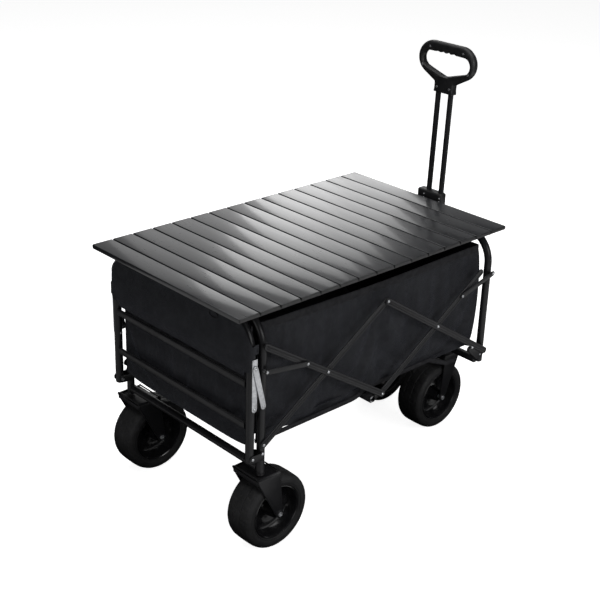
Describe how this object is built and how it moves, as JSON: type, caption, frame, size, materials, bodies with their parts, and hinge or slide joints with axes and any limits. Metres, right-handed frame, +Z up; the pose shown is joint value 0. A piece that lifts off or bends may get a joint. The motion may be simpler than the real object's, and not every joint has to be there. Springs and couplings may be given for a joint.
{
  "type": "folding camp wagon",
  "caption": "Folding utility wagon with a fabric tub, scissor-linked tube frame, drop-down end, caster wheels, telescopic pull handle and roll-up slatted table top.",
  "frame": {"origin": "middle of the bounding box, on the ground", "axes": "+X toward the pull handle, +Y to the wagon's left, +Z up"},
  "size_m": [0.984, 0.575, 1.084],
  "materials": {
    "slat_aluminium": "black satin anodised",
    "frame_paint": "black powder coat",
    "bright_steel": "zinc plated",
    "bag_fabric": "coated plain-weave polyester",
    "tyre_rubber": "matt moulded tread",
    "wheel_hub": "gloss black moulding",
    "grip_plastic": "fine satin moulding"
  },
  "bodies": {
    "root": {"rear_frame": "frame_paint", "fork_rear_r": "frame_paint", "fork_rear_l": "frame_paint", "bag_side_r": "bag_fabric", "bag_side_l": "bag_fabric", "bag_floor": "bag_fabric"},
    "tailgate": {"tailgate_frame": "frame_paint", "tailgate_rail_upper": "frame_paint", "tailgate_rail_lower": "frame_paint", "bag_rear": "bag_fabric"},
    "front": {"front_frame": "frame_paint", "front_cross_tube": "frame_paint", "bag_front": "bag_fabric"},
    "handle": {"handle_sheath": "grip_plastic"},
    "handle_upper": {"handle_rod_r": "frame_paint", "handle_rod_l": "frame_paint", "handle_grip": "grip_plastic"},
    "table_base": {"table_slat_12": "slat_aluminium", "table_slat_13": "slat_aluminium", "table_slat_14": "slat_aluminium", "table_slat_15": "slat_aluminium"},
    "slat_01": {"table_slat_01": "slat_aluminium"},
    "slat_02": {"table_slat_02": "slat_aluminium"},
    "slat_03": {"table_slat_03": "slat_aluminium"},
    "slat_04": {"table_slat_04": "slat_aluminium"},
    "slat_05": {"table_slat_05": "slat_aluminium"},
    "slat_06": {"table_slat_06": "slat_aluminium"},
    "slat_07": {"table_slat_07": "slat_aluminium"},
    "slat_08": {"table_slat_08": "slat_aluminium"},
    "slat_09": {"table_slat_09": "slat_aluminium"},
    "slat_10": {"table_slat_10": "slat_aluminium"},
    "slat_11": {"table_slat_11": "slat_aluminium"},
    "scissor_rear_rising_r": {"scissor_rear_rising_r": "frame_paint"},
    "scissor_rear_falling_r": {"scissor_rear_falling_r": "frame_paint"},
    "scissor_front_rising_r": {"scissor_front_rising_r": "frame_paint", "floor_cross_tube": "frame_paint"},
    "scissor_front_falling_r": {"scissor_front_falling_r": "frame_paint"},
    "short_link_rear_r": {"short_link_rear_r": "frame_paint"},
    "short_link_front_r": {"short_link_front_r": "frame_paint"},
    "stay_gate_r": {"stay_gate_r": "bright_steel"},
    "stay_post_r": {"stay_post_r": "bright_steel"},
    "scissor_rear_rising_l": {"scissor_rear_rising_l": "frame_paint"},
    "scissor_rear_falling_l": {"scissor_rear_falling_l": "frame_paint"},
    "scissor_front_rising_l": {"scissor_front_rising_l": "frame_paint"},
    "scissor_front_falling_l": {"scissor_front_falling_l": "frame_paint"},
    "short_link_rear_l": {"short_link_rear_l": "frame_paint"},
    "short_link_front_l": {"short_link_front_l": "frame_paint"},
    "stay_gate_l": {"stay_gate_l": "bright_steel"},
    "stay_post_l": {"stay_post_l": "bright_steel"},
    "wheel_rear_r": {"tyre_rear_r": "tyre_rubber", "hub_rear_r": "wheel_hub"},
    "wheel_rear_l": {"tyre_rear_l": "tyre_rubber", "hub_rear_l": "wheel_hub"},
    "wheel_front_r": {"tyre_front_r": "tyre_rubber", "hub_front_r": "wheel_hub"},
    "wheel_front_l": {"tyre_front_l": "tyre_rubber", "hub_front_l": "wheel_hub"},
    "caster_r": {"fork_front_r": "frame_paint"},
    "caster_l": {"fork_front_l": "frame_paint"}
  },
  "joints": [
    {"name": "frame_fold", "type": "hinge", "parent": "root", "child": "scissor_rear_rising_r", "pos_m": [-0.40505, -0.272, 0.307], "axis": [0, -1, 0], "range_deg": [0, 46], "deforming": ["bag_side_r", "bag_side_l", "bag_floor"]},
    {"name": "rear_cross_r", "type": "hinge", "parent": "scissor_rear_rising_r", "child": "scissor_rear_falling_r", "pos_m": [-0.20705, -0.272, 0.4357], "axis": [0, -1, 0], "range_deg": [-92.5, 0]},
    {"name": "top_knee_r", "type": "hinge", "parent": "scissor_rear_rising_r", "child": "scissor_front_falling_r", "pos_m": [-0.00905, -0.272, 0.5644], "axis": [0, -1, 0], "range_deg": [-92.5, 0]},
    {"name": "front_cross_r", "type": "hinge", "parent": "scissor_front_falling_r", "child": "scissor_front_rising_r", "pos_m": [0.18895, -0.272, 0.4357], "axis": [0, -1, 0], "range_deg": [0, 92.5]},
    {"name": "rear_short_link_r", "type": "hinge", "parent": "root", "child": "short_link_rear_r", "pos_m": [-0.40705, -0.272, 0.5025], "axis": [0, -1, 0], "range_deg": [0, 85.14]},
    {"name": "front_short_link_r", "type": "hinge", "parent": "front", "child": "short_link_front_r", "pos_m": [0.40095, -0.272, 0.528], "axis": [0, -1, 0], "range_deg": [-87.87, 0]},
    {"name": "front_foot", "type": "hinge", "parent": "scissor_front_falling_r", "child": "front", "pos_m": [0.38695, 0, 0.307], "axis": [0, -1, 0], "range_deg": [0, 46.5]},
    {"name": "scissor_foot_l", "type": "hinge", "parent": "root", "child": "scissor_rear_rising_l", "pos_m": [-0.40505, 0.272, 0.307], "axis": [0, -1, 0], "range_deg": [0, 46.5]},
    {"name": "rear_cross_l", "type": "hinge", "parent": "scissor_rear_rising_l", "child": "scissor_rear_falling_l", "pos_m": [-0.20705, 0.272, 0.4357], "axis": [0, -1, 0], "range_deg": [-92.5, 0]},
    {"name": "top_knee_l", "type": "hinge", "parent": "scissor_rear_rising_l", "child": "scissor_front_falling_l", "pos_m": [-0.00905, 0.272, 0.5644], "axis": [0, -1, 0], "range_deg": [-92.5, 0]},
    {"name": "front_cross_l", "type": "hinge", "parent": "scissor_front_falling_l", "child": "scissor_front_rising_l", "pos_m": [0.18895, 0.272, 0.4357], "axis": [0, -1, 0], "range_deg": [0, 92.5]},
    {"name": "rear_short_link_l", "type": "hinge", "parent": "root", "child": "short_link_rear_l", "pos_m": [-0.40705, 0.272, 0.5025], "axis": [0, -1, 0], "range_deg": [0, 85.14]},
    {"name": "front_short_link_l", "type": "hinge", "parent": "front", "child": "short_link_front_l", "pos_m": [0.40095, 0.272, 0.528], "axis": [0, -1, 0], "range_deg": [-87.87, 0]},
    {"name": "table_lift", "type": "slide", "parent": "front", "child": "table_base", "axis": [0, 0, 1], "range_m": [0, 0.195]},
    {"name": "table_roll", "type": "hinge", "parent": "table_base", "child": "slat_11", "pos_m": [0.18455, 0, 0.6576], "axis": [0, 1, 0], "range_deg": [0, 22]},
    {"name": "slat_hinge_10", "type": "hinge", "parent": "slat_11", "child": "slat_10", "pos_m": [0.12295, 0, 0.6576], "axis": [0, 1, 0], "range_deg": [0, 23.5]},
    {"name": "slat_hinge_09", "type": "hinge", "parent": "slat_10", "child": "slat_09", "pos_m": [0.06135, 0, 0.6576], "axis": [0, 1, 0], "range_deg": [0, 23.5]},
    {"name": "slat_hinge_08", "type": "hinge", "parent": "slat_09", "child": "slat_08", "pos_m": [-0.00025, 0, 0.6576], "axis": [0, 1, 0], "range_deg": [0, 23.5]},
    {"name": "slat_hinge_07", "type": "hinge", "parent": "slat_08", "child": "slat_07", "pos_m": [-0.06185, 0, 0.6576], "axis": [0, 1, 0], "range_deg": [0, 23.5]},
    {"name": "slat_hinge_06", "type": "hinge", "parent": "slat_07", "child": "slat_06", "pos_m": [-0.12345, 0, 0.6576], "axis": [0, 1, 0], "range_deg": [0, 23.5]},
    {"name": "slat_hinge_05", "type": "hinge", "parent": "slat_06", "child": "slat_05", "pos_m": [-0.18505, 0, 0.6576], "axis": [0, 1, 0], "range_deg": [0, 23.5]},
    {"name": "slat_hinge_04", "type": "hinge", "parent": "slat_05", "child": "slat_04", "pos_m": [-0.24665, 0, 0.6576], "axis": [0, 1, 0], "range_deg": [0, 23.5]},
    {"name": "slat_hinge_03", "type": "hinge", "parent": "slat_04", "child": "slat_03", "pos_m": [-0.30825, 0, 0.6576], "axis": [0, 1, 0], "range_deg": [0, 23.5]},
    {"name": "slat_hinge_02", "type": "hinge", "parent": "slat_03", "child": "slat_02", "pos_m": [-0.36985, 0, 0.6576], "axis": [0, 1, 0], "range_deg": [0, 23.5]},
    {"name": "slat_hinge_01", "type": "hinge", "parent": "slat_02", "child": "slat_01", "pos_m": [-0.43145, 0, 0.6576], "axis": [0, 1, 0], "range_deg": [0, 23.5]},
    {"name": "tailgate_drop", "type": "hinge", "parent": "root", "child": "tailgate", "pos_m": [-0.43705, 0, 0.278], "axis": [0, -1, 0], "range_deg": [0, 90]},
    {"name": "stay_gate_pin_r", "type": "hinge", "parent": "tailgate", "child": "stay_gate_r", "pos_m": [-0.43505, -0.272, 0.411], "axis": [0, -1, 0], "range_deg": [-129.32, 0]},
    {"name": "stay_post_pin_r", "type": "hinge", "parent": "root", "child": "stay_post_r", "pos_m": [-0.41005, -0.272, 0.413], "axis": [0, -1, 0], "range_deg": [0, 104.51]},
    {"name": "stay_gate_pin_l", "type": "hinge", "parent": "tailgate", "child": "stay_gate_l", "pos_m": [-0.43505, 0.272, 0.411], "axis": [0, -1, 0], "range_deg": [-129.32, 0]},
    {"name": "stay_post_pin_l", "type": "hinge", "parent": "root", "child": "stay_post_l", "pos_m": [-0.41005, 0.272, 0.413], "axis": [0, -1, 0], "range_deg": [0, 104.51]},
    {"name": "handle_tilt", "type": "hinge", "parent": "front", "child": "handle", "pos_m": [0.46395, 0, 0.29], "axis": [0, 1, 0], "range_deg": [0, 95]},
    {"name": "handle_slide", "type": "slide", "parent": "handle", "child": "handle_upper", "axis": [0, 0, 1], "range_m": [-0.262, 0]},
    {"name": "caster_swivel_r", "type": "hinge", "parent": "front", "child": "caster_r", "pos_m": [0.42395, -0.102, 0.232], "axis": [0, 0, 1], "continuous": true},
    {"name": "caster_swivel_l", "type": "hinge", "parent": "front", "child": "caster_l", "pos_m": [0.42395, 0.102, 0.232], "axis": [0, 0, 1], "continuous": true},
    {"name": "wheel_spin_rear_r", "type": "hinge", "parent": "root", "child": "wheel_rear_r", "pos_m": [-0.35705, -0.236, 0.1], "axis": [0, 1, 0], "continuous": true},
    {"name": "wheel_spin_rear_l", "type": "hinge", "parent": "root", "child": "wheel_rear_l", "pos_m": [-0.35705, 0.236, 0.1], "axis": [0, 1, 0], "continuous": true},
    {"name": "wheel_spin_front_r", "type": "hinge", "parent": "caster_r", "child": "wheel_front_r", "pos_m": [0.39195, -0.102, 0.1], "axis": [0, 1, 0], "continuous": true},
    {"name": "wheel_spin_front_l", "type": "hinge", "parent": "caster_l", "child": "wheel_front_l", "pos_m": [0.39195, 0.102, 0.1], "axis": [0, 1, 0], "continuous": true}
  ],
  "couplings": [
    {"joint": "rear_cross_r", "follows": "frame_fold", "ratio": -2},
    {"joint": "top_knee_r", "follows": "frame_fold", "ratio": -2},
    {"joint": "front_cross_r", "follows": "frame_fold", "ratio": 2},
    {"joint": "rear_short_link_r", "follows": "frame_fold", "ratio": 1.8401},
    {"joint": "front_short_link_r", "follows": "frame_fold", "ratio": -1.8994},
    {"joint": "front_foot", "follows": "frame_fold", "ratio": 1},
    {"joint": "scissor_foot_l", "follows": "frame_fold", "ratio": 1},
    {"joint": "rear_cross_l", "follows": "frame_fold", "ratio": -2},
    {"joint": "top_knee_l", "follows": "frame_fold", "ratio": -2},
    {"joint": "front_cross_l", "follows": "frame_fold", "ratio": 2},
    {"joint": "rear_short_link_l", "follows": "frame_fold", "ratio": 1.8401},
    {"joint": "front_short_link_l", "follows": "frame_fold", "ratio": -1.8994},
    {"joint": "table_lift", "follows": "frame_fold", "m_per_rad": 0.23666},
    {"joint": "slat_hinge_10", "follows": "table_roll", "ratio": 1},
    {"joint": "slat_hinge_09", "follows": "table_roll", "ratio": 1},
    {"joint": "slat_hinge_08", "follows": "table_roll", "ratio": 1},
    {"joint": "slat_hinge_07", "follows": "table_roll", "ratio": 1},
    {"joint": "slat_hinge_06", "follows": "table_roll", "ratio": 1},
    {"joint": "slat_hinge_05", "follows": "table_roll", "ratio": 1},
    {"joint": "slat_hinge_04", "follows": "table_roll", "ratio": 1},
    {"joint": "slat_hinge_03", "follows": "table_roll", "ratio": 1},
    {"joint": "slat_hinge_02", "follows": "table_roll", "ratio": 1},
    {"joint": "slat_hinge_01", "follows": "table_roll", "ratio": 1},
    {"joint": "stay_gate_pin_r", "follows": "tailgate_drop", "ratio": -1.4313},
    {"joint": "stay_post_pin_r", "follows": "tailgate_drop", "ratio": 1.1557},
    {"joint": "stay_gate_pin_l", "follows": "tailgate_drop", "ratio": -1.4313},
    {"joint": "stay_post_pin_l", "follows": "tailgate_drop", "ratio": 1.1557},
    {"joint": "caster_swivel_l", "follows": "caster_swivel_r", "ratio": 1}
  ]
}
